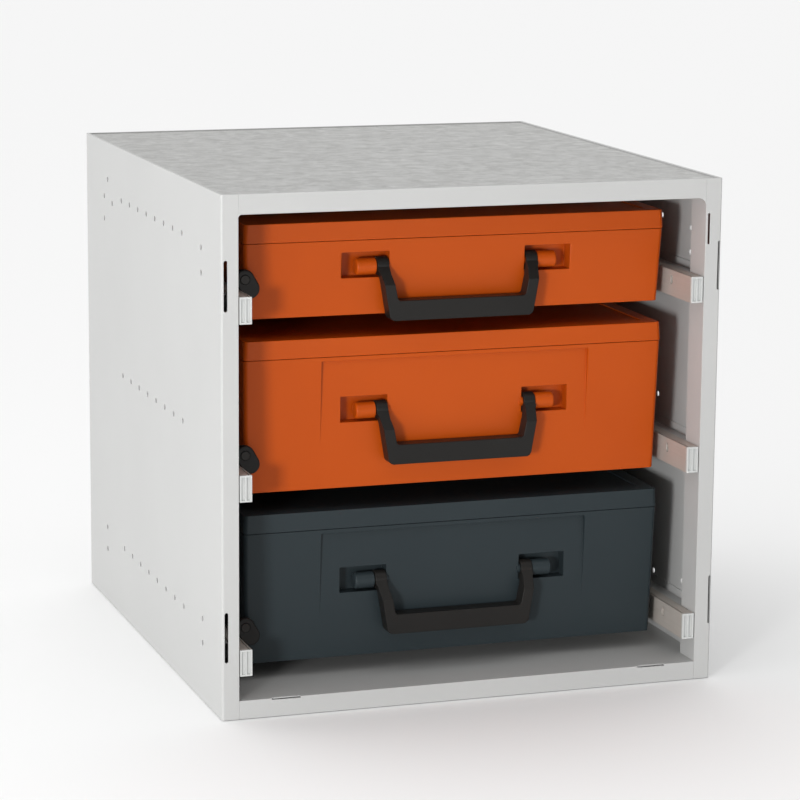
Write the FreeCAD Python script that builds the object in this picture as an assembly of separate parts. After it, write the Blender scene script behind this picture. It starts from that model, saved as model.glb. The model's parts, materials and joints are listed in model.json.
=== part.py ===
"""Parts organizer: a sheet-steel cabinet that holds three carrying cases on telescopic slides.

+X is to the right, +Y goes in from the open front, +Z is up. The origin is at the middle of the base.
Millimetres throughout.
"""
import FreeCAD, Part
import math
import os

Vec = FreeCAD.Vector

# Cabinet
CAB_W = 502.0
CAB_D = 546.0
CAB_H = 500.0
SHEET = 1.2
LEFT = -CAB_W / 2
FRONT = -CAB_D / 2
REAR = CAB_D / 2
INNER_X = CAB_W / 2 - SHEET
SIDE_FLANGE = 17.0
TOP_FLANGE = 19.0
FLOOR_Z = 18.0
RETURN_D = 34.0
REAR_FLANGE = 14.0
BEND_R = 2.4
OPENING_R = 8.0
OPENING_LOW_R = 3.0
RIM_W = 3.0
TRAY_Z = 496.8
MAT_T = 2.0
MAT_GAP = 0.4
BACK_Y = REAR - 2 * SHEET
BASE_LIP_W = 26.0

# Holes and slots in the cabinet, measured from the front edge and the base
WALL_HOLE_R = 2.8
ROW_Z = (446.0, 262.0, 76.0)
ROW_START = 141.0
ROW_PITCH = 35.3
ROW_COUNT = 8
CORNER_Y = (70.0, 465.0)
CORNER_Z = (442.0, 418.0, 82.0, 58.0)
STRAY_HOLES = ((449.0, 461.0), (429.5, 438.0))
DOOR_SLOT_X = 4.6
DOOR_SLOT_W = 3.5
DOOR_SLOTS_Z = ((391.0, 439.0), (56.0, 105.0))
SILL_SLOT_X = (173.5, 202.0)
SILL_SLOT_H = 1.6
RIGHT_SLOT_X = 2.2
RIGHT_SLOT_W = 2.4
LATCH_SLOT_X = 13.4
LATCH_SLOT_Z = (436.0, 466.0)
LATCH_SLOT_W = 2.2

# Levels: name, height of the slide's centre line, height of the case
LEVELS = (("upper", 391.5, 91.0), ("middle", 223.0, 148.0), ("lower", 54.5, 148.0))
CASE_DROP = 19.0

# Slides: widths are measured from the outside of the cabinet wall
SLIDE_Y0 = FRONT + 3.0
SLIDE_L = 495.0
SLIDE_GAP = 0.4
SLIDE_SHEET = 1.0
OUTER_X = (17.8, 27.4)
OUTER_H = 12.8
MID_X = (20.2, 27.4)
MID_H = 9.2
INNER_SLIDE_X = (22.0, 28.6)
INNER_H = 5.6
BALL_R = 1.25
BALL_PITCH = 12.0
BALL_COUNT = 16
BALL_START = 12.0
SPACER_X = 17.8
SPACER_H = 10.0
SPACER_LIP = 8.0
SPACER_Y = (FRONT + 40.0, FRONT + 500.0)
SCREW_Y = (FRONT + 70.0, FRONT + 260.0, FRONT + 450.0)
SCREW_R = 2.0
SCREW_HEAD_R = 3.6
SCREW_HEAD_H = 1.0
SCREW_TIP_X = 12.0

# Case carriers, on the moving member of each slide
CARRIER_T = 1.4
CARRIER_X = INNER_SLIDE_X[1] + CARRIER_T
LEDGE_W = 32.0
LEDGE_Y = (FRONT + 110.0, FRONT + 496.0)
STOP_H = 22.0
STOP_W = 20.0
RELEASE_Y = FRONT + 49.0
RELEASE_W = 5.0
RELEASE_SLOT = (-1.7, 7.8)
RELEASE_HOLE = (-1.7, 4.2)
EAR_Y = FRONT + 54.2
EAR_T = 1.6
EAR_X = 41.0
EAR_H = (2.0, 27.0)
CAP_T = 2.6
CAP_X = 18.0
CAP_BORDER = 1.8
CAP_BAR = 1.8
CAP_RECESS = 1.8
CAP_PLUG_L = 11.0

# Catch
CATCH_HUB = (36.5, 21.5)
CATCH_LOBE = (41.5, 12.6)
CATCH_R = 9.4
CATCH_Y = (FRONT + 46.5, FRONT + 53.9)
CATCH_BORE_R = 2.05
CATCH_HEAD_R = 4.2
CATCH_HEAD_H = 2.6
CATCH_SCREW_GAP = 0.3
CATCH_EDGE_R = 1.6
CATCH_SEAT = 2.4

# Cases: half widths, and distances back from the cabinet's front
CASE_BOTTOM = (211.4, FRONT + 61.0, FRONT + 487.0)
CASE_RIM = (213.5, FRONT + 54.6, FRONT + 493.4)
LID_RIM = (213.9, FRONT + 54.0, FRONT + 494.0)
LID_TOP = (213.0, FRONT + 55.2, FRONT + 492.8)
CASE_CORNER_R = 4.5
CASE_MIN_R = 0.6
CASE_WALL = 2.5
LID_H = 18.5
LID_GAP = 0.4
LID_FIELD = 14.0
LID_FIELD_DEPTH = 1.0
TONGUE_T = 1.5
TONGUE_H = 3.0
TONGUE_GAP = 0.7
SHOULDER_H = 3.0
BACKING_OVERLAP = 1.5
PANEL_HALF_W = 136.5
PANEL_Y = FRONT + 59.0
PANEL_DROP = 4.0
PANEL_CASES = ("middle", "lower")

# Handle and its pockets: x is from the case's middle, z from the pivot
PIVOT_Y = FRONT + 62.0
PIVOT_UP = {"upper": 46.5, "middle": 75.0, "lower": 75.0}
POCKET_X = (69.0, 116.5)
POCKET_Z = (-10.5, 14.5)
POCKET_Y = FRONT + 73.0
POST_R = 4.8
POST_END_X = 99.8
POST_BORE_R = 4.85
POST_CAP_R = 8.0
POST_CAP_X = (82.0, 102.0)
POST_CAP_BORE = (4.82, 100.0)
POST_CAP_CHAMFER = 1.5
EYE_R = 9.0
HANDLE_EYE_X = (70.0, 81.6)
HANDLE_ARM_X = (69.6, 80.4)
HANDLE_BEND_Z = -7.0
ARM_STEP = 2.0
HANDLE_LOW_X = (64.8, 72.5)
HANDLE_LOW_Z = -51.0
GRIP_TOP_Z = -31.5
HANDLE_Y = (FRONT + 40.0, FRONT + 56.0)
HANDLE_R = 6.0
HANDLE_INNER_R = 3.5
KNEE_FRONT_Z = -16.0
KNEE_REAR_Y = FRONT + 57.6
KNEE_REAR_Z = (-9.4, -13.5)

# Lid hinge
HINGE_Y = FRONT + 498.6
HINGE_R = 4.2
PIN_R = 2.0
LID_BORE_R = 2.06
BASE_KNUCKLES = ((-170.0, -100.0), (-34.0, 34.0), (100.0, 170.0))
LID_KNUCKLES = ((-99.5, -34.5), (34.5, 99.5))
PIN_HALF_L = 171.0

# Dividers
DIVIDER_T = 2.0
DIVIDER_Y = (FRONT + 78.0, FRONT + 480.0)
DIVIDER_HALF_X = 200.0
DIVIDER_CROSS_X = (-100.0, 0.0, 100.0)
DIVIDER_HEADROOM = 8.0
DIVIDER_LAP_GAP = 0.2


def box(x0, x1, y0, y1, z0, z1):
    """A box between two corners."""
    return Part.makeBox(x1 - x0, y1 - y0, z1 - z0, Vec(x0, y0, z0))


def rod(radius, start, end):
    """A round bar from one point to another."""
    axis = end.sub(start)
    return Part.makeCylinder(radius, axis.Length, start, axis)


def joined(shapes):
    """One solid from pieces that touch or overlap."""
    return shapes[0].fuse(shapes[1:]).removeSplitter()


def mirrored(shape):
    """The same shape on the other side of the cabinet."""
    return shape.mirror(Vec(0, 0, 0), Vec(1, 0, 0))


def prism(points, direction):
    """A closed outline of straight edges, pushed along a direction."""
    wire = Part.makePolygon(points + [points[0]])
    return Part.Face(wire).extrude(direction)


def rounded(shape, radius, chosen):
    """The shape with the edges that the test picks made round."""
    edges = [e for e in shape.Edges if chosen(e)]
    return shape.makeFillet(radius, edges)


def upright(edge):
    """Whether a straight edge runs along Z."""
    first, last = edge.Vertexes[0].Point, edge.Vertexes[-1].Point
    return abs(first.x - last.x) + abs(first.y - last.y) < 0.01 < abs(first.z - last.z)


def export(name, shape):
    """Writes one sub-part."""
    shape.exportStep(os.path.join("parts", name + ".step"))


def export_pair(name, shape):
    """Writes a left-hand sub-part and its right-hand twin."""
    export(name + "_left", shape)
    export(name + "_right", mirrored(shape))


def wall_holes():
    """Bores for every round hole in the left wall."""
    places = [(ROW_START + i * ROW_PITCH, z) for z in ROW_Z for i in range(ROW_COUNT)]
    places += [(y, z) for y in CORNER_Y for z in CORNER_Z]
    places += list(STRAY_HOLES)
    return [
        rod(WALL_HOLE_R, Vec(LEFT - 1, FRONT + y, z), Vec(LEFT + 2 * SHEET, FRONT + y, z))
        for y, z in places
    ]


def door_slots(from_edge, width):
    """Upright slots for door hinges in the left front flange."""
    slots = []
    half = width / 2
    x = LEFT + from_edge
    for low, high in DOOR_SLOTS_Z:
        slots.append(box(x - half, x + half, FRONT - 1, FRONT + 2 * SHEET, low + half, high - half))
        for z in (low + half, high - half):
            slots.append(rod(half, Vec(x, FRONT - 1, z), Vec(x, FRONT + 2 * SHEET, z)))
    return slots


def side_panel(slots):
    """The left wall, folded round at the front into a flange with a return."""
    edge_x = LEFT + SIDE_FLANGE
    wall = box(LEFT, LEFT + SHEET, FRONT, REAR, 0, CAB_H)
    flange = box(LEFT, edge_x, FRONT, FRONT + SHEET, 0, CAB_H)
    inner = box(edge_x - SHEET, edge_x, FRONT, FRONT + RETURN_D, FLOOR_Z, CAB_H - TOP_FLANGE)
    back = box(LEFT, LEFT + REAR_FLANGE, REAR - SHEET, REAR, 0, TRAY_Z - SHEET)
    panel = joined([wall, flange, inner, back])
    corner = (LEFT, FRONT)
    panel = rounded(panel, BEND_R, lambda e: upright(e) and at_corner(e, corner))
    return panel.cut(wall_holes() + slots)


def at_corner(edge, corner):
    """Whether an upright edge stands at the given x and y."""
    point = edge.Vertexes[0].Point
    return math.hypot(point.x - corner[0], point.y - corner[1]) < 0.01


def latch_slot():
    """The slot for a door latch in the right front flange, beside the opening."""
    x = CAB_W / 2 - LATCH_SLOT_X
    half = LATCH_SLOT_W / 2
    return box(x - half, x + half, FRONT - 1, FRONT + 2 * SHEET, *LATCH_SLOT_Z)


def opening_corner(side, z, up, radius):
    """A web that rounds one corner of the front opening."""
    x = side * (CAB_W / 2 - SIDE_FLANGE)
    square = box(
        min(x, x - side * radius), max(x, x - side * radius), FRONT, FRONT + SHEET,
        min(z, z + up * radius), max(z, z + up * radius),
    )
    centre = Vec(x - side * radius, FRONT - 1, z + up * radius)
    return square.cut(rod(radius, centre, centre + Vec(0, 3 * SHEET, 0)))


def top_panel():
    """The top tray with its raised rim, and the folded front edge below it."""
    front_x = CAB_W / 2 - SIDE_FLANGE
    sheet = box(-INNER_X, INNER_X, FRONT + SHEET, REAR, TRAY_Z - SHEET, TRAY_Z)
    rim = box(-INNER_X, INNER_X, FRONT + SHEET, REAR, TRAY_Z - SHEET, CAB_H)
    inside = INNER_X + SHEET - RIM_W
    tray = box(-inside, inside, FRONT + RIM_W, REAR - RIM_W, TRAY_Z, CAB_H + 1)
    low_z = CAB_H - TOP_FLANGE
    flange = box(-front_x, front_x, FRONT, FRONT + SHEET, low_z, CAB_H)
    fold = box(-front_x, front_x, FRONT, FRONT + RETURN_D, low_z, low_z + SHEET)
    corners = [opening_corner(1, low_z, -1, OPENING_R), opening_corner(-1, low_z, -1, OPENING_LOW_R)]
    return joined([sheet, rim.cut(tray), flange, fold] + corners)


def bottom_panel():
    """The raised floor, folded down on all four sides, with lips to stand on at left and right."""
    front_x = CAB_W / 2 - SIDE_FLANGE
    floor = box(-INNER_X, INNER_X, FRONT + SHEET, BACK_Y, FLOOR_Z - SHEET, FLOOR_Z)
    flange = box(-front_x, front_x, FRONT, FRONT + SHEET, 0, FLOOR_Z)
    left = box(-INNER_X, SHEET - INNER_X, FRONT + SHEET, BACK_Y, 0, FLOOR_Z)
    left_lip = box(-INNER_X, BASE_LIP_W - INNER_X, FRONT + SHEET, BACK_Y, 0, SHEET)
    sides = [left, left_lip, mirrored(left), mirrored(left_lip)]
    back = box(-INNER_X, INNER_X, BACK_Y - SHEET, BACK_Y, 0, FLOOR_Z)
    panel = joined([floor, flange, back] + sides)
    slots = [
        box(min(a, b), max(a, b), FRONT - 1, FRONT + 2 * SHEET, FLOOR_Z - SILL_SLOT_H, FLOOR_Z + 1)
        for a, b in (SILL_SLOT_X, tuple(-x for x in SILL_SLOT_X))
    ]
    return panel.cut(slots)


def back_panel():
    """The plain rear sheet, held behind the walls' rear flanges."""
    return box(-INNER_X, INNER_X, BACK_Y, REAR - SHEET, 0, TRAY_Z - SHEET)


def top_mat():
    """The grey mat that lies in the top tray."""
    x = CAB_W / 2 - RIM_W - MAT_GAP
    return box(-x, x, FRONT + RIM_W + MAT_GAP, REAR - RIM_W - MAT_GAP, TRAY_Z, TRAY_Z + MAT_T)


def channel(x_range, half_h, y_range, z, web_first=True):
    """A rolled channel lying along Y: a web with a flange above and below."""
    x0, x1 = LEFT + x_range[0], LEFT + x_range[1]
    y0, y1 = y_range
    web_x = (x0, x0 + SLIDE_SHEET) if web_first else (x1 - SLIDE_SHEET, x1)
    web = box(web_x[0], web_x[1], y0, y1, z - half_h, z + half_h)
    high = box(x0, x1, y0, y1, z + half_h - SLIDE_SHEET, z + half_h)
    low = box(x0, x1, y0, y1, z - half_h, z - half_h + SLIDE_SHEET)
    return joined([web, high, low])


def slot_through(x0, x1, low, high):
    """An upright slot with round ends, for reaching the slide's release lever."""
    half = RELEASE_W / 2
    low += half
    high -= half
    ends = [rod(half, Vec(x0, RELEASE_Y, z), Vec(x1, RELEASE_Y, z)) for z in (low, high)]
    return [box(x0, x1, RELEASE_Y - half, RELEASE_Y + half, low, high)] + ends


def slide_screw(y, z):
    """One low-head screw that holds a slide to its spacer."""
    web_x = LEFT + OUTER_X[0] + SLIDE_SHEET
    shank = rod(SCREW_R, Vec(LEFT + SCREW_TIP_X, y, z), Vec(web_x, y, z))
    head = rod(SCREW_HEAD_R, Vec(web_x, y, z), Vec(web_x + SCREW_HEAD_H, y, z))
    return joined([shank, head])


def screw_bores(z):
    """Clearance for the shanks of one slide's screws."""
    x0, x1 = LEFT + SCREW_TIP_X, LEFT + OUTER_X[1]
    return [rod(SCREW_R, Vec(x0, y, z), Vec(x1, y, z)) for y in SCREW_Y]


def outer_slide(z):
    """The fixed member, screwed to the spacer."""
    member = channel(OUTER_X, OUTER_H, (SLIDE_Y0 + SLIDE_GAP, SLIDE_Y0 + SLIDE_L), z)
    return member.cut(screw_bores(z))


def mid_slide(z):
    """The middle member, which runs half as far as the case."""
    return channel(MID_X, MID_H, (SLIDE_Y0 + SLIDE_GAP, SLIDE_Y0 + SLIDE_L), z)


def inner_slide(z):
    """The moving member that carries the case."""
    member = channel(INNER_SLIDE_X, INNER_H, (SLIDE_Y0, SLIDE_Y0 + SLIDE_L), z, web_first=False)
    low, high = RELEASE_HOLE
    return member.cut(slot_through(LEFT + INNER_SLIDE_X[0], LEFT + CARRIER_X, z + low, z + high))


def slide_balls(z):
    """Steel balls on both sides of the middle member, in the half of it that always stays covered."""
    balls = []
    outer_z = (MID_H + OUTER_H - SLIDE_SHEET) / 2
    inner_z = (INNER_H + MID_H - SLIDE_SHEET) / 2
    rows = ((outer_z, SLIDE_Y0 + SLIDE_L - BALL_START, -1), (inner_z, SLIDE_Y0 + BALL_START, 1))
    x = LEFT + (MID_X[0] + SLIDE_SHEET + MID_X[1]) / 2
    for offset, start, step in rows:
        for i in range(BALL_COUNT):
            y = start + step * i * BALL_PITCH
            for side in (-1, 1):
                centre = Vec(x, y, z + side * offset)
                balls.append(Part.makeSphere(BALL_R, centre))
    return Part.makeCompound(balls + [mirrored(ball) for ball in balls])


def spacer(z):
    """The hat-section rail that stands the slide off the wall."""
    x0, x1 = LEFT + SHEET, LEFT + SPACER_X
    y0, y1 = SPACER_Y
    web = box(x1 - SHEET, x1, y0, y1, z - SPACER_H, z + SPACER_H)
    pieces = [web]
    for side in (-1, 1):
        edge = z + side * SPACER_H
        inner = edge - side * SHEET
        pieces.append(box(x0, x1, y0, y1, min(edge, inner), max(edge, inner)))
        lip = edge + side * SPACER_LIP
        pieces.append(box(x0, x0 + SHEET, y0, y1, min(inner, lip), max(inner, lip)))
    return joined(pieces).cut(screw_bores(z))


def carrier(z):
    """The bracket on the moving member: a web beside the case and a ledge under it."""
    x0, x1 = LEFT + INNER_SLIDE_X[1], LEFT + CARRIER_X
    y0, y1 = LEDGE_Y
    under = z - CASE_DROP
    web = box(x0, x1, SLIDE_Y0, SLIDE_Y0 + SLIDE_L, z - OUTER_H, z + OUTER_H)
    skirt = box(x0, x1, y0, y1, under - CARRIER_T, z)
    ledge = box(x0, x1 + LEDGE_W, y0, y1, under - CARRIER_T, under)
    stop = box(x0, x1 + STOP_W, y1 - CARRIER_T, y1, under - CARRIER_T, under + STOP_H)
    low, high = RELEASE_SLOT
    return joined([web, skirt, ledge, stop]).cut(slot_through(x0 - 1, x1 + 1, z + low, z + high))


def catch_ear(z):
    """The ear on the left carrier that the catch turns on."""
    x0 = LEFT + INNER_SLIDE_X[1]
    ear = box(x0, LEFT + EAR_X, EAR_Y, EAR_Y + EAR_T, z + EAR_H[0], z + EAR_H[1])
    x, up = LEFT + CATCH_HUB[0], z + CATCH_HUB[1]
    return ear.cut(rod(SCREW_R, Vec(x, EAR_Y - 1, up), Vec(x, EAR_Y + 2 * EAR_T, up)))


def end_cap(z):
    """The white plastic cap that closes the front of the slide."""
    x0, x1 = LEFT + CAP_X, LEFT + CARRIER_X
    back = SLIDE_Y0
    face = back - CAP_T
    cap = box(x0, x1, face, back, z - OUTER_H, z + OUTER_H)
    middle = (x0 + x1) / 2
    for low, high in (
        (x0 + CAP_BORDER, middle - CAP_BAR / 2),
        (middle + CAP_BAR / 2, x1 - CAP_BORDER),
    ):
        z_room = OUTER_H - CAP_BORDER
        cap = cap.cut(box(low, high, face - 1, face + CAP_RECESS, z - z_room, z + z_room))
    room = INNER_H - SLIDE_SHEET
    plug = box(
        LEFT + INNER_SLIDE_X[0], LEFT + INNER_SLIDE_X[1] - SLIDE_SHEET, back, back + CAP_PLUG_L,
        z - room, z + room,
    )
    return joined([cap, plug])


def catch(z):
    """The swivel catch that laps over the case's left front edge."""
    y0, y1 = CATCH_Y
    hub = Vec(LEFT + CATCH_HUB[0], y0, z + CATCH_HUB[1])
    lobe = Vec(LEFT + CATCH_LOBE[0], y0, z + CATCH_LOBE[1])
    along = lobe.sub(hub)
    along.normalize()
    side = Vec(along.z, 0, -along.x).multiply(CATCH_R)
    bar = prism([hub + side, lobe + side, lobe - side, hub - side], Vec(0, y1 - y0, 0))
    ends = [Part.makeCylinder(CATCH_R, y1 - y0, at, Vec(0, 1, 0)) for at in (hub, lobe)]
    body = joined([bar] + ends)
    body = rounded(body, CATCH_EDGE_R, lambda e: on_plane(e, y0))
    bore = rod(CATCH_BORE_R, hub - Vec(0, 1, 0), hub + Vec(0, y1 - y0 + 1, 0))
    seat = rod(CATCH_HEAD_R + CATCH_SCREW_GAP, hub - Vec(0, 1, 0), hub + Vec(0, CATCH_SEAT, 0))
    return body.cut([bore, seat])


def on_plane(edge, y):
    """Whether an edge lies wholly at the given distance from front to back."""
    return all(abs(v.Point.y - y) < 0.01 for v in edge.Vertexes)


def catch_screw(z):
    """The screw that the catch turns on, with its head sunk in the catch."""
    x, up = LEFT + CATCH_HUB[0], z + CATCH_HUB[1]
    seat = CATCH_Y[0] + CATCH_SEAT - CATCH_SCREW_GAP
    shank = rod(SCREW_R, Vec(x, seat, up), Vec(x, EAR_Y + EAR_T, up))
    head = rod(CATCH_HEAD_R, Vec(x, seat - CATCH_HEAD_H, up), Vec(x, seat, up))
    return joined([shank, head])


def round_rect(outline, z, inset=0.0):
    """A level rectangle with round corners, given by half width, front and back."""
    half, y0, y1 = outline
    x1 = half - inset
    y0 += inset
    y1 -= inset
    r = max(CASE_CORNER_R - inset, CASE_MIN_R)
    k = r * (1 - math.sqrt(0.5))
    edges = []
    corners = ((-x1, y0, 1, 1), (x1, y0, -1, 1), (x1, y1, -1, -1), (-x1, y1, 1, -1))
    starts = []
    for i, (cx, cy, sx, sy) in enumerate(corners):
        along_y = Vec(cx, cy + sy * r, z)
        along_x = Vec(cx + sx * r, cy, z)
        first, last = (along_y, along_x) if i % 2 == 0 else (along_x, along_y)
        starts.append((first, Vec(cx + sx * k, cy + sy * k, z), last))
    for i, (first, middle, last) in enumerate(starts):
        edges.append(Part.Arc(first, middle, last).toShape())
        edges.append(Part.makeLine(last, starts[(i + 1) % 4][0]))
    return Part.Wire(edges)


def block(low, z0, high, z1, inset=0.0):
    """A solid between two level round-cornered rectangles."""
    return Part.makeLoft([round_rect(low, z0, inset), round_rect(high, z1, inset)], True, True)


def pocket(side, z, grow=0.0):
    """The room for one handle post, or with grow the walls round it."""
    low, high = sorted((side * (POCKET_X[0] - grow), side * (POCKET_X[1] + grow)))
    return box(low, high, FRONT, POCKET_Y + grow, z + POCKET_Z[0] - grow, z + POCKET_Z[1] + grow)


def post(side, z):
    """One handle post, rooted in the pocket's inner wall and free at its outer end."""
    root = Vec(side * (POCKET_X[0] - CASE_WALL), PIVOT_Y, z)
    return rod(POST_R, root, Vec(side * POST_END_X, PIVOT_Y, z))


def post_cap(side, z):
    """The thick cap pressed on a handle post, which keeps the handle's eye in place."""
    near, far = (Vec(side * x, PIVOT_Y, z) for x in POST_CAP_X)
    bore_r, bore_end = POST_CAP_BORE
    cap = rod(POST_CAP_R, near, far)
    edges = [e for e in cap.Edges if abs(e.Vertexes[0].Point.x - far.x) < 0.01 and e.Closed]
    cap = cap.makeChamfer(POST_CAP_CHAMFER, edges[:1])
    return cap.cut(rod(bore_r, Vec(side * (POST_CAP_X[0] - 1), PIVOT_Y, z), Vec(side * bore_end, PIVOT_Y, z)))


def recess_panel(z_low, z_high, grow=0.0):
    """The flat upright panel let into the sloping front of a deep case, or with grow the wall behind it."""
    return box(
        -PANEL_HALF_W - grow, PANEL_HALF_W + grow, FRONT, PANEL_Y + grow, z_low, z_high,
    )


def case_base(name, floor, height):
    """The open tray of a case, with its handle pockets, post caps and half of the hinge."""
    rim = floor + height - LID_H
    pivot = floor + PIVOT_UP[name]
    outer = block(CASE_BOTTOM, floor, CASE_RIM, rim)
    inner = block(CASE_BOTTOM, floor + CASE_WALL, CASE_RIM, rim + 1, CASE_WALL)
    outer_cuts = [pocket(side, pivot) for side in (-1, 1)]
    inner_cuts = [pocket(side, pivot, CASE_WALL) for side in (-1, 1)]
    if name in PANEL_CASES:
        panel_top = rim - PANEL_DROP
        outer_cuts.append(recess_panel(floor - 1, panel_top))
        inner_cuts.append(recess_panel(floor - 1, panel_top + CASE_WALL, CASE_WALL))
    shell = outer.cut(outer_cuts).cut(inner.cut(inner_cuts))
    shoulder = block(CASE_RIM, rim - SHOULDER_H, CASE_RIM, rim, CASE_WALL / 2)
    ring = block(LID_RIM, rim - 1, LID_RIM, rim + TONGUE_H, CASE_WALL + TONGUE_GAP)
    inside = CASE_WALL + TONGUE_GAP + TONGUE_T
    room = block(LID_RIM, rim - SHOULDER_H - 1, LID_RIM, rim + TONGUE_H + 1, inside)
    tongue = joined([shoulder, ring]).cut(room)
    knuckles = [knuckle(span, rim, -1) for span in BASE_KNUCKLES]
    posts = [post(side, pivot) for side in (-1, 1)]
    tray = joined([shell, tongue] + posts + knuckles).cut(hinge_bore(rim, PIN_R))
    return Part.makeCompound([tray] + [post_cap(side, pivot) for side in (-1, 1)])


def hinge_z(rim):
    """The height of the lid's hinge axis."""
    return rim + LID_GAP / 2


def hinge_bore(rim, radius):
    """Room for the hinge pin."""
    z = hinge_z(rim)
    return rod(radius, Vec(-PIN_HALF_L, HINGE_Y, z), Vec(PIN_HALF_L, HINGE_Y, z))


def knuckle(span, rim, side):
    """One hinge knuckle, joined to the base below the axis or to the lid above it."""
    z = hinge_z(rim)
    barrel = rod(HINGE_R, Vec(span[0], HINGE_Y, z), Vec(span[1], HINGE_Y, z))
    near, far = sorted((z + side * LID_GAP, z + side * HINGE_R))
    leaf = box(span[0], span[1], CASE_RIM[2] - CASE_WALL, HINGE_Y, near, far)
    return joined([barrel, leaf])


def case_lid(floor, height):
    """The shallow lid, whose rim stands a little proud of the tray below."""
    rim = floor + height - LID_H
    top = floor + height
    outer = block(LID_RIM, rim + LID_GAP, LID_TOP, top)
    inner = block(LID_RIM, rim + LID_GAP - 1, LID_TOP, top - CASE_WALL, CASE_WALL)
    half, y0, y1 = LID_TOP
    field = (half - LID_FIELD, y0 + LID_FIELD, y1 - LID_FIELD)
    dish = block(field, top - LID_FIELD_DEPTH, field, top + 1)
    backing = block(field, top - CASE_WALL - LID_FIELD_DEPTH, field, top - LID_FIELD_DEPTH, -BACKING_OVERLAP)
    knuckles = [knuckle(span, rim, 1) for span in LID_KNUCKLES]
    lid = outer.cut(inner.cut(backing)).cut(dish)
    keep_inside = block(LID_RIM, rim + LID_GAP - 1, LID_TOP, top - CASE_WALL, CASE_WALL)
    hinge = joined(knuckles[:1]).cut(keep_inside)
    other = joined(knuckles[1:]).cut(keep_inside)
    return joined([lid, hinge, other]).cut(hinge_bore(rim, LID_BORE_R))


def hinge_pin(floor, height):
    """The steel pin through all of the lid's knuckles."""
    return hinge_bore(floor + height - LID_H, PIN_R)


def handle_front(z):
    """The handle's outline seen from the front, cut through its full depth."""
    top = z + EYE_R + 1
    bend = z + HANDLE_BEND_Z
    low = z + HANDLE_LOW_Z
    grip = z + GRIP_TOP_Z
    y = FRONT
    eye_in, eye_out = HANDLE_EYE_X
    arm_in, arm_out = HANDLE_ARM_X
    low_in, low_out = HANDLE_LOW_X
    right_side = [
        Vec(low_out, y, low), Vec(arm_out, y, bend + ARM_STEP), Vec(eye_out, y, bend + 2 * ARM_STEP),
        Vec(eye_out, y, top), Vec(eye_in, y, top), Vec(arm_in, y, bend), Vec(low_in, y, grip),
    ]
    left_side = [Vec(-p.x, y, p.z) for p in reversed(right_side)]
    outline = right_side + left_side
    solid = prism(outline, Vec(0, POCKET_Y - FRONT + 2 * EYE_R, 0))
    solid = rounded(solid, HANDLE_R, lambda e: runs_deep(e) and edge_at(e, low_out, low))
    return rounded(solid, HANDLE_INNER_R, lambda e: runs_deep(e) and edge_at(e, low_in, grip))


def runs_deep(edge):
    """Whether a straight edge runs along Y."""
    first, last = edge.Vertexes[0].Point, edge.Vertexes[-1].Point
    return abs(first.x - last.x) + abs(first.z - last.z) < 0.01 < abs(first.y - last.y)


def edge_at(edge, half, z):
    """Whether an edge lies at the given distance from the middle, and height."""
    point = edge.Vertexes[0].Point
    return abs(abs(point.x) - half) < 0.01 and abs(point.z - z) < 0.01


def handle_side(z):
    """The handle's outline seen from the side: a round eye, a forward knee and a straight drop."""
    y0, y1 = HANDLE_Y
    half = HANDLE_EYE_X[1] + 1
    low = z + HANDLE_LOW_Z
    centre = Vec(-half, PIVOT_Y, z)
    ahead = centre - Vec(0, EYE_R, 0)
    high, bend = KNEE_REAR_Z
    points = [
        ahead, Vec(-half, y0, z + KNEE_FRONT_Z), Vec(-half, y0, low), Vec(-half, y1, low),
        Vec(-half, y1, z + bend), Vec(-half, KNEE_REAR_Y, z + high), centre - Vec(0, 0, EYE_R),
    ]
    arm = prism(points, Vec(2 * half, 0, 0))
    eye = rod(EYE_R, centre, centre + Vec(2 * half, 0, 0))
    return joined([arm, eye])


def handle(floor, name):
    """The U-shaped carrying handle, hanging from the two posts."""
    z = floor + PIVOT_UP[name]
    solid = handle_front(z).common(handle_side(z))
    for side in (-1, 1):
        start = Vec(side * (HANDLE_EYE_X[0] - 1), PIVOT_Y, z)
        end = Vec(side * (HANDLE_EYE_X[1] + 1), PIVOT_Y, z)
        solid = solid.cut(rod(POST_BORE_R, start, end))
    return solid.removeSplitter()


def dividers(floor, height):
    """Crossed plates that part the case into eight compartments."""
    z0 = floor + CASE_WALL
    z1 = floor + height - LID_H - DIVIDER_HEADROOM
    middle_z = (z0 + z1) / 2
    y0, y1 = DIVIDER_Y
    middle_y = (y0 + y1) / 2
    half = DIVIDER_T / 2
    lap = half + DIVIDER_LAP_GAP
    long_plate = box(-DIVIDER_HALF_X, DIVIDER_HALF_X, middle_y - half, middle_y + half, z0, z1)
    plates = []
    for x in DIVIDER_CROSS_X:
        long_plate = long_plate.cut(
            box(x - lap, x + lap, y0, y1, middle_z - DIVIDER_LAP_GAP, z1 + 1)
        )
        plate = box(x - half, x + half, y0, y1, z0, z1)
        notch = box(x - 2 * lap, x + 2 * lap, middle_y - lap, middle_y + lap, z0 - 1, middle_z)
        plates.append(plate.cut(notch))
    return Part.makeCompound([long_plate] + plates)


def export_cabinet():
    """Writes the cabinet's own sheets and its mat."""
    export("left_side_panel", side_panel(door_slots(DOOR_SLOT_X, DOOR_SLOT_W)))
    right = mirrored(side_panel(door_slots(RIGHT_SLOT_X, RIGHT_SLOT_W)))
    export("right_side_panel", right.cut(latch_slot()))
    export("top_panel", top_panel())
    export("bottom_panel", bottom_panel())
    export("back_panel", back_panel())
    export("top_mat", top_mat())


def export_fixings():
    """Writes the spacers behind every slide and the screws through them."""
    spacers = []
    screws = []
    for name, z, height in LEVELS:
        spacers.append(spacer(z))
        screws += [slide_screw(y, z) for y in SCREW_Y]
    export("slide_spacers", Part.makeCompound(spacers + [mirrored(s) for s in spacers]))
    export("slide_screws", Part.makeCompound(screws + [mirrored(s) for s in screws]))


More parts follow.
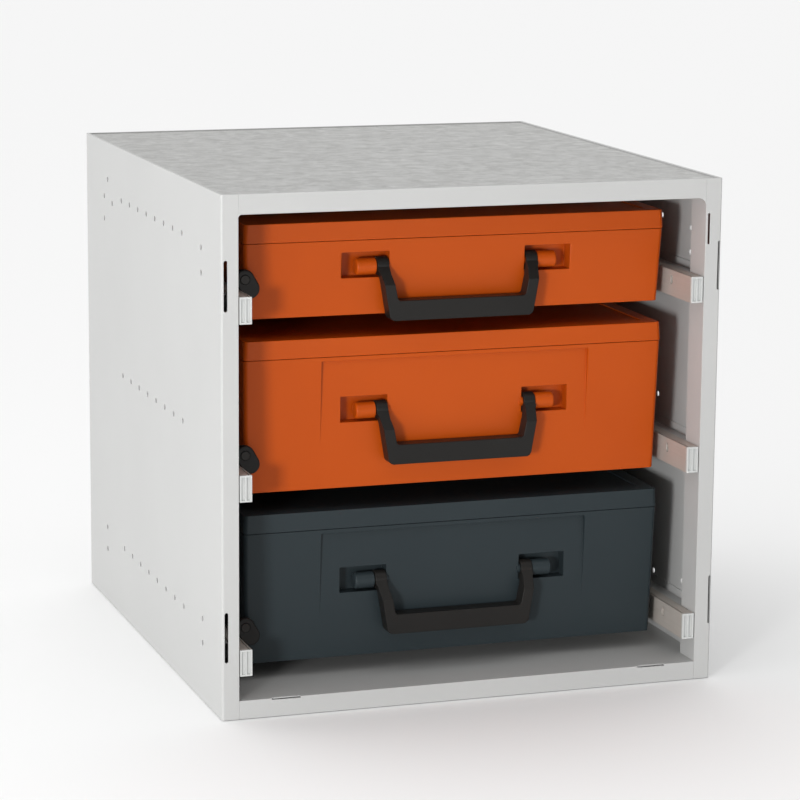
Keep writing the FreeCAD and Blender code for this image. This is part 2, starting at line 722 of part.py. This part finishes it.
def export_slides(name, z):
    """Writes one level's slides, carriers and catch."""
    export_pair(name + "_outer_slide", outer_slide(z))
    export_pair(name + "_mid_slide", mid_slide(z))
    export_pair(name + "_inner_slide", inner_slide(z))
    export(name + "_slide_balls", slide_balls(z))
    plain = carrier(z)
    export(name + "_carrier_left", joined([plain, catch_ear(z)]))
    export(name + "_carrier_right", mirrored(plain))
    cap = end_cap(z)
    export(name + "_end_caps", Part.makeCompound([cap, mirrored(cap)]))
    export(name + "_catch", catch(z))
    export(name + "_catch_screw", catch_screw(z))


def export_case(name, z, height):
    """Writes one level's case with its lid, handle and dividers."""
    floor = z - CASE_DROP
    export(name + "_case_base", case_base(name, floor, height))
    export(name + "_case_lid", case_lid(floor, height))
    export(name + "_hinge_pin", hinge_pin(floor, height))
    export(name + "_handle", handle(floor, name))
    export(name + "_dividers", dividers(floor, height))


os.makedirs("parts", exist_ok=True)
export_cabinet()
export_fixings()
for level, slide_z, case_height in LEVELS:
    export_slides(level, slide_z)
    export_case(level, slide_z, case_height)
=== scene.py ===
"""Parts organizer: the looks of a steel cabinet that holds three carrying cases on slides.

Metres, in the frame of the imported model: +X right, +Y in from the open front, +Z up.
"""
import bpy
import json
import math
from mathutils import Matrix, Vector

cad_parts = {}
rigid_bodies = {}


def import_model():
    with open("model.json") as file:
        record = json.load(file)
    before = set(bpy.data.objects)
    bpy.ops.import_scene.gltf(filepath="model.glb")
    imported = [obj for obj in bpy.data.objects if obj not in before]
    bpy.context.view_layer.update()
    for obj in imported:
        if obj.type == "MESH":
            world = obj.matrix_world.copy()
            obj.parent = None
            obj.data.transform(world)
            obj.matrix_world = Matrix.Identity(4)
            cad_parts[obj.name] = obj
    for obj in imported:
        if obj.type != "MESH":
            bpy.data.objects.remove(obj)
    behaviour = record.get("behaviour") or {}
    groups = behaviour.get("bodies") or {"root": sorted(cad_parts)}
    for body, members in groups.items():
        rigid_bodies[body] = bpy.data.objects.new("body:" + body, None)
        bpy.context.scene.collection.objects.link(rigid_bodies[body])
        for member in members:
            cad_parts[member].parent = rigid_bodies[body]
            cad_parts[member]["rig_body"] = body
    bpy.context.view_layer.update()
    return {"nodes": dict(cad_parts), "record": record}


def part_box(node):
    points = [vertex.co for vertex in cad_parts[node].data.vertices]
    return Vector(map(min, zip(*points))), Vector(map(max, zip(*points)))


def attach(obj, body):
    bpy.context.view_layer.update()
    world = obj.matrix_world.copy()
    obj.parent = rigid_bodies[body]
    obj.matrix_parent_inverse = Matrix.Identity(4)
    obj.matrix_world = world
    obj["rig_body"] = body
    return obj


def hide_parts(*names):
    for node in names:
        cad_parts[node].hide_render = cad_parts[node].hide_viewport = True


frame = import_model()

LEVELS = ("upper", "middle", "lower")
SIDES = ("left", "right")
MM = 0.001

# Camera: place, the way it looks, and its lens
CAMERA_AT = (-0.9877, -2.9674, 0.8571)
CAMERA_YAW = math.radians(18.69)
CAMERA_PITCH = math.radians(-11.09)
CAMERA_ROLL = math.radians(0.47)
CAMERA_LENS = 138.2
CAMERA_SENSOR = 36.0
CAMERA_REACH = 100

# The floor, a little below the cabinet's feet so that the two never share a face
FLOOR_SIZE = 60
FLOOR_DROP = 0.5 * MM
FLOOR_GREY = 0.90
FLOOR_ROUGHNESS = 0.9

# Light: the key lamp, a weak panel that the lids reflect, and the surround on each side
KEY_AT = (-2.35, -2.95, 0.45)
KEY_AIM = (0, 0, 0.25)
KEY_SIZE = 0.5
KEY_POWER = 74
SHEEN_AT = (0.62, -3.1, 0.5)
SHEEN_AIM = (0, 0, 0.3)
SHEEN_SIZE = 0.7
SHEEN_POWER = 5
SURROUND_FRONT = 0.18
SURROUND_LEFT = 0.56
SURROUND_BEHIND = 0.66
SURROUND_OVERHEAD = 0.78
LEFT_SPAN = (-0.9, 0.1)
BEHIND_SPAN = (-0.1, 0.9)
OVERHEAD_SPAN = (0.15, 0.95)

# Rounding of edges; on sheet metal only edges as long as LONG_EDGE are rounded, so holes stay crisp
SHEET_EDGE = 0.35 * MM
MOULDED_EDGE = 0.7 * MM
PLATE_EDGE = 0.3 * MM
HANDLE_EDGE = 0.8 * MM
SMOOTH_ANGLE = math.radians(32)
EDGE_ANGLE = math.radians(38)
MERGE = 0.002 * MM
LONG_EDGE = 2.5 * MM
SEGMENTS = 2
FINE_SEGMENTS = 3
FLAT_ANGLE = math.radians(1)
FULL_WEIGHT = 100

# The mat in the top tray: how finely its top is divided, how it waves, and where the wave sets in
MAT_CELLS = 44
MAT_WAVE = 0.35 * MM
MAT_WAVE_LENGTH = 0.09
MAT_FLAT_MARGIN = 4 * MM
MAT_FADE = 24 * MM
MAT_EDGE = 0.7 * MM
FACES_UP = 0.9


class Value:
    """A socket that takes part in sums by adding Math nodes."""

    def __init__(self, nodes, socket):
        self.nodes = nodes
        self.socket = socket

    def math(self, operation, *values):
        return self.nodes.add("ShaderNodeMath", {"operation": operation}, dict(enumerate(values)))

    def __add__(self, other):
        return self.math("ADD", self, other)

    __radd__ = __add__

    def __mul__(self, other):
        return self.math("MULTIPLY", self, other)

    __rmul__ = __mul__


class Nodes:
    """The nodes of a material or of the surround."""

    def __init__(self, tree):
        self.tree = tree

    def add(self, kind, settings=(), values=(), output=0):
        """Adds a node: its settings first, then the values or links of its sockets."""
        node = self.tree.nodes.new(kind)
        for key, setting in dict(settings).items():
            setattr(node, key, setting)
        for key, value in dict(values).items():
            self.feed(node.inputs[key], value)
        return Value(self, node.outputs[output])

    def feed(self, socket, value):
        """Links a socket, or sets its value."""
        if isinstance(value, Value):
            self.tree.links.new(value.socket, socket)
        else:
            socket.default_value = value

    def step(self, value, low, high, first=0.0, last=1.0):
        """First below low, last above high, and smooth between them."""
        values = {"Value": value, "From Min": low, "From Max": high, "To Min": first, "To Max": last}
        return self.add("ShaderNodeMapRange", {"interpolation_type": "SMOOTHSTEP"}, values)

    def mix(self, factor, first, second):
        """A colour between two others."""
        return self.add("ShaderNodeMix", {"data_type": "RGBA"}, {0: factor, 6: first, 7: second}, output=2)


class Look(Nodes):
    """A material, the nodes that vary it over a surface, and the shader they feed."""

    def __init__(self, name, **constants):
        self.material = bpy.data.materials.new(name)
        self.material.use_nodes = True
        super().__init__(self.material.node_tree)
        self.shader = self.tree.nodes["Principled BSDF"]
        for socket, value in constants.items():
            self.shader.inputs[socket.replace("_", " ")].default_value = value
        self.place = self.add("ShaderNodeTexCoord", output="Object")

    def stretched(self, x, y, z):
        """The place on the object, stretched along its axes."""
        return self.add("ShaderNodeVectorMath", {"operation": "MULTIPLY"}, {0: self.place, 1: (x, y, z)})

    def noise(self, size, detail=2.0, roughness=0.5, distortion=0.0, place=None):
        """Noise whose features are about the given size in metres."""
        values = {
            "Vector": place or self.place, "Scale": 1 / size, "Detail": detail,
            "Roughness": roughness, "Distortion": distortion,
        }
        return self.add("ShaderNodeTexNoise", values=values)

    def finish(self, colour, roughness, height, distance):
        """Feeds the shader its colour, roughness and relief."""
        self.feed(self.shader.inputs["Base Color"], colour)
        self.feed(self.shader.inputs["Roughness"], roughness)
        bump = self.add("ShaderNodeBump", values={"Height": height, "Distance": distance, "Strength": 1.0})
        self.feed(self.shader.inputs["Normal"], bump)
        return self.material


def rgb(red, green, blue):
    """An opaque colour."""
    return (red, green, blue, 1.0)


def powder_coat():
    """Light grey powder coat with a fine orange-peel skin."""
    look = Look("cabinet_paint")
    cloud = look.noise(0.16, 3.0)
    peel = look.noise(1.6 * MM, 2.0)
    grit = look.noise(0.45 * MM, 1.0)
    colour = look.mix(cloud, rgb(0.455, 0.457, 0.450), rgb(0.500, 0.502, 0.494))
    speckle = look.mix(0.10 * grit, colour, rgb(0.40, 0.40, 0.40))
    return look.finish(speckle, 0.36 + 0.12 * peel, peel + 0.35 * grit, 0.05 * MM)


def felt():
    """Needled grey felt, mottled, with faint darker streaks."""
    look = Look("mat_felt", Sheen_Weight=0.25, Sheen_Roughness=0.5)
    fuzz = look.noise(0.9 * MM, 3.0, 0.7)
    blotch = look.noise(16 * MM, 4.0, 0.62, 0.6)
    streak = look.noise(9 * MM, 4.0, 0.6, 1.5, look.stretched(0.35, 1.0, 1.0))
    tone = look.step(0.45 * blotch + 0.30 * streak + 0.25 * fuzz, 0.34, 0.66)
    colour = look.mix(tone, rgb(0.33, 0.33, 0.32), rgb(0.55, 0.55, 0.54))
    dark = look.step(streak, 0.60, 0.72)
    streaked = look.mix(0.35 * dark, colour, rgb(0.28, 0.275, 0.26))
    return look.finish(streaked, 0.92, fuzz + 0.5 * blotch, 0.5 * MM)


def steel(name, dark, light, low, spread, metallic=1.0):
    """Plated steel, drawn along its length."""
    look = Look(name, Metallic=metallic, Specular_IOR_Level=0.4)
    drawn = look.noise(1.4 * MM, 3.0, 0.6, 0.0, look.stretched(1.0, 0.02, 1.0))
    cloud = look.noise(18 * MM, 3.0)
    fine = look.noise(0.5 * MM, 1.0)
    colour = look.mix(0.5 * drawn + 0.5 * cloud, dark, light)
    return look.finish(colour, low + spread * (0.5 * cloud + 0.5 * drawn), drawn + 0.4 * fine, 0.02 * MM)


def plastic(name, base, shade, rough, grain_size, gloss=0.17):
    """Moulded plastic with a fine spark-eroded grain."""
    look = Look(name, Specular_IOR_Level=gloss)
    cloud = look.noise(0.11, 2.0)
    grain = look.noise(grain_size, 2.0)
    scuff = look.step(look.noise(7 * MM, 4.0, 0.7, 0.4), 0.52, 0.75)
    colour = look.mix(cloud, base, shade)
    return look.finish(colour, rough + 0.08 * grain + 0.07 * scuff, grain, 0.035 * MM)


LOOKS = {
    "cabinet_paint": powder_coat(),
    "mat_felt": felt(),
    "zinc_steel": steel(
        "zinc_steel", rgb(0.42, 0.38, 0.34), rgb(0.56, 0.52, 0.48), 0.46, 0.16, 0.3),
    "bright_steel": steel("bright_steel", rgb(0.62, 0.62, 0.63), rgb(0.80, 0.80, 0.81), 0.18, 0.16),
    "black_steel": steel("black_steel", rgb(0.020, 0.019, 0.018), rgb(0.040, 0.038, 0.036), 0.34, 0.16),
    "white_plastic": plastic(
        "white_plastic", rgb(0.50, 0.51, 0.50), rgb(0.55, 0.56, 0.55), 0.36, 0.8 * MM, 0.4),
    "black_plastic": plastic(
        "black_plastic", rgb(0.010, 0.0095, 0.009), rgb(0.016, 0.0145, 0.013), 0.33, 0.7 * MM),
    "orange_plastic": plastic(
        "orange_plastic", rgb(0.47, 0.071, 0.003), rgb(0.42, 0.060, 0.002), 0.34, 0.6 * MM),
    "charcoal_plastic": plastic(
        "charcoal_plastic", rgb(0.020, 0.028, 0.032), rgb(0.025, 0.034, 0.038), 0.34, 0.6 * MM),
    "grey_plastic": plastic(
        "grey_plastic", rgb(0.33, 0.34, 0.34), rgb(0.37, 0.38, 0.38), 0.45, 0.9 * MM),
}
NODE_SLOTS = {piece["node"]: piece["material_slot"] for piece in frame["record"]["subparts"]}


def only(piece):
    """Makes one object the only selected one, and the active one."""
    bpy.ops.object.select_all(action="DESELECT")
    piece.select_set(True)
    bpy.context.view_layer.objects.active = piece


def placed(piece):
    """Puts an object's place, turn and size into its mesh."""
    only(piece)
    bpy.ops.object.transform_apply(location=True, rotation=True, scale=True)
    return piece


def block(name, low, high):
    """A box between two corners, to be shaped further."""
    low, high = Vector(low), Vector(high)
    bpy.ops.object.select_all(action="DESELECT")
    bpy.ops.mesh.primitive_cube_add(size=1, location=(low + high) / 2, scale=high - low)
    piece = bpy.context.object
    piece.name = name
    return placed(piece)


def pick_faces(piece, test):
    """Opens a mesh for editing with the faces that the test on centre and normal picks."""
    open_mesh(piece, "FACE")
    for face in piece.data.polygons:
        face.select = test(face.center, face.normal)
    bpy.ops.object.mode_set(mode="EDIT")


def open_mesh(piece, kind):
    """Clears what is selected in a mesh, for picking faces or edges."""
    only(piece)
    bpy.ops.object.mode_set(mode="EDIT")
    bpy.ops.mesh.select_mode(type=kind)
    bpy.ops.mesh.select_all(action="DESELECT")
    bpy.ops.object.mode_set(mode="OBJECT")


def close_mesh():
    """Ends editing."""
    bpy.ops.object.mode_set(mode="OBJECT")


def modify(piece, kind, **settings):
    """Adds a modifier and applies it."""
    only(piece)
    modifier = piece.modifiers.new("shape", kind)
    for key, value in settings.items():
        setattr(modifier, key, value)
    bpy.ops.object.modifier_apply(modifier=modifier.name)
    return piece


def soften(piece, width, segments=SEGMENTS, miter="MITER_ARC"):
    """Rounds a piece's sharp edges a little, and shades it."""
    modify(
        piece, "BEVEL", width=width, segments=segments, limit_method="ANGLE", angle_limit=EDGE_ANGLE,
        use_clamp_overlap=False, miter_outer=miter, face_strength_mode="FSTR_ALL",
    )
    return shade(piece)


def shade(piece):
    """Smooth shading across shallow edges, with the broad faces kept flat."""
    only(piece)
    bpy.ops.object.shade_smooth_by_angle(angle=SMOOTH_ANGLE)
    return modify(piece, "WEIGHTED_NORMAL", weight=FULL_WEIGHT, keep_sharp=True, use_face_influence=True)


def stand_in(piece, body, *replaced):
    """Gives a finished piece its body, its finish and the CAD nodes that it stands for."""
    slot = NODE_SLOTS[replaced[0]]
    piece.data.materials.clear()
    piece.data.materials.append(LOOKS[slot])
    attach(piece, body)
    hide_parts(*replaced)
    return piece


def soften_long(piece, width, shortest):
    """Rounds only the sharp edges of at least a certain length, and shades the piece."""
    open_mesh(piece, "EDGE")
    bpy.ops.object.mode_set(mode="EDIT")
    bpy.ops.mesh.edges_select_sharp(sharpness=EDGE_ANGLE)
    bpy.ops.object.mode_set(mode="OBJECT")
    points = piece.data.vertices
    for edge in piece.data.edges:
        first, last = (points[i].co for i in edge.vertices)
        if edge.select and (first - last).length < shortest:
            edge.select = False
    bpy.ops.object.mode_set(mode="EDIT")
    bpy.ops.mesh.bevel(
        offset=width, segments=SEGMENTS, affect="EDGES", clamp_overlap=False, miter_outer="ARC",
        face_strength_mode="ALL",
    )
    close_mesh()
    return shade(piece)


def softened(node, width, segments=SEGMENTS, shortest=0.0, miter="MITER_ARC"):
    """A copy of a CAD piece with its facets merged and its edges, or only its long ones, rounded."""
    source = frame["nodes"][node]
    body = source["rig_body"]
    piece = bpy.data.objects.new(node + "_finished", source.data.copy())
    bpy.context.scene.collection.objects.link(piece)
    only(piece)
    bpy.ops.object.mode_set(mode="EDIT")
    bpy.ops.mesh.select_all(action="SELECT")
    bpy.ops.mesh.remove_doubles(threshold=MERGE)
    bpy.ops.mesh.tris_convert_to_quads(face_threshold=FLAT_ANGLE, shape_threshold=math.pi)
    bpy.ops.object.mode_set(mode="OBJECT")
    bpy.ops.mesh.customdata_custom_splitnormals_clear()
    if shortest:
        soften_long(piece, width, shortest)
    else:
        soften(piece, width, segments, miter)
    return stand_in(piece, body, node)


def top_mat():
    """The felt mat: a thin slab with a slightly wavy top and soft edges."""
    low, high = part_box("top_mat")
    mat = block("top_mat_felt", low, high)
    pick_faces(mat, lambda centre, normal: normal.z > FACES_UP)
    bpy.ops.mesh.subdivide(number_cuts=MAT_CELLS)
    close_mesh()
    clouds = bpy.data.textures.new("mat_wave", "CLOUDS")
    clouds.noise_scale = MAT_WAVE_LENGTH
    inner = mat.vertex_groups.new(name="top")
    for vertex in mat.data.vertices:
        at = vertex.co
        away = min(at.x - low.x, high.x - at.x, at.y - low.y, high.y - at.y)
        if away > MAT_FLAT_MARGIN:
            inner.add([vertex.index], min(1.0, away / MAT_FADE), "REPLACE")
    modify(
        mat, "DISPLACE", texture=clouds, strength=-2 * MAT_WAVE, mid_level=0.0, direction="Z",
        vertex_group="top", texture_coords="LOCAL",
    )
    soften(mat, MAT_EDGE, FINE_SEGMENTS)
    return stand_in(mat, "cabinet", "top_mat")


def dress_cad():
    """Gives every CAD piece its finish."""
    for name, node in frame["nodes"].items():
        for slot in node.material_slots:
            slot.material = LOOKS[NODE_SLOTS[name]]
        if not node.material_slots:
            node.data.materials.append(LOOKS[NODE_SLOTS[name]])


def finish_sheets():
    """Rounds the edges of the folded sheets, the slides, the carriers and the cases with their fittings."""
    for name in ("left_side_panel", "right_side_panel", "top_panel", "bottom_panel", "back_panel"):
        softened(name, SHEET_EDGE, shortest=LONG_EDGE)
    softened("slide_spacers", SHEET_EDGE)
    for level in LEVELS:
        for side in SIDES:
            softened(level + "_carrier_" + side, PLATE_EDGE, shortest=LONG_EDGE)
            for member in ("outer", "mid", "inner"):
                softened(level + "_" + member + "_slide_" + side, PLATE_EDGE)
        softened(level + "_end_caps", PLATE_EDGE)
        softened(level + "_dividers", PLATE_EDGE)
        softened(level + "_case_base", MOULDED_EDGE)
        softened(level + "_case_lid", MOULDED_EDGE)
        softened(level + "_handle", HANDLE_EDGE, FINE_SEGMENTS, miter="MITER_SHARP")
        softened(level + "_catch", MOULDED_EDGE)


def camera():
    """The camera at its three-quarter view."""
    forward = Vector((
        math.sin(CAMERA_YAW) * math.cos(CAMERA_PITCH),
        math.cos(CAMERA_YAW) * math.cos(CAMERA_PITCH),
        math.sin(CAMERA_PITCH),
    ))
    level = Vector((math.cos(CAMERA_YAW), -math.sin(CAMERA_YAW), 0))
    raised = level.cross(forward)
    right = level * math.cos(CAMERA_ROLL) + raised * math.sin(CAMERA_ROLL)
    up = raised * math.cos(CAMERA_ROLL) - level * math.sin(CAMERA_ROLL)
    data = bpy.data.cameras.new("camera")
    data.lens = CAMERA_LENS
    data.sensor_width = CAMERA_SENSOR
    data.clip_end = CAMERA_REACH
    item = bpy.data.objects.new("camera", data)
    item.matrix_world = Matrix.Translation(CAMERA_AT) @ Matrix((right, up, -forward)).transposed().to_4x4()
    bpy.context.scene.collection.objects.link(item)
    bpy.context.scene.camera = item


def area_light(name, place, aim, size, power):
    """A square soft light that points at a place."""
    data = bpy.data.lights.new(name, "AREA")
    data.shape = "SQUARE"
    data.size = size
    data.energy = power
    item = bpy.data.objects.new(name, data)
    item.location = place
    item.rotation_euler = (Vector(aim) - Vector(place)).to_track_quat("-Z", "Y").to_euler()
    bpy.context.scene.collection.objects.link(item)


def studio():
    """A pale floor, a white surround and soft lights."""
    bpy.ops.object.select_all(action="DESELECT")
    bpy.ops.mesh.primitive_plane_add(size=FLOOR_SIZE, location=(0, 0, -FLOOR_DROP))
    floor = bpy.context.object
    floor.name = "studio_floor"
    look = Look("studio_floor", Roughness=FLOOR_ROUGHNESS)
    look.shader.inputs["Base Color"].default_value = rgb(FLOOR_GREY, FLOOR_GREY, FLOOR_GREY)
    floor.data.materials.append(look.material)
    surround()
    area_light("key", KEY_AT, KEY_AIM, KEY_SIZE, KEY_POWER)
    area_light("sheen", SHEEN_AT, SHEEN_AIM, SHEEN_SIZE, SHEEN_POWER)
    bpy.context.scene.view_settings.view_transform = "Standard"


def surround():
    """A white surround, brighter overhead, behind and to the left than in front."""
    world = bpy.data.worlds.new("surround")
    world.use_nodes = True
    nodes = Nodes(world.node_tree)
    way = nodes.add("ShaderNodeTexCoord", output="Generated")
    parts = nodes.add("ShaderNodeSeparateXYZ", values={"Vector": way})
    along = {axis: Value(nodes, parts.socket.node.outputs[axis]) for axis in "XYZ"}
    left = nodes.step(along["X"], *LEFT_SPAN, SURROUND_LEFT, 0.0)
    behind = nodes.step(along["Y"], *BEHIND_SPAN, 0.0, SURROUND_BEHIND)
    overhead = nodes.step(along["Z"], *OVERHEAD_SPAN, 0.0, SURROUND_OVERHEAD)
    background = world.node_tree.nodes["Background"]
    nodes.feed(background.inputs["Strength"], SURROUND_FRONT + left + behind + overhead)
    background.inputs["Color"].default_value = rgb(1, 1, 1)
    bpy.context.scene.world = world


dress_cad()
finish_sheets()
top_mat()
studio()
camera()
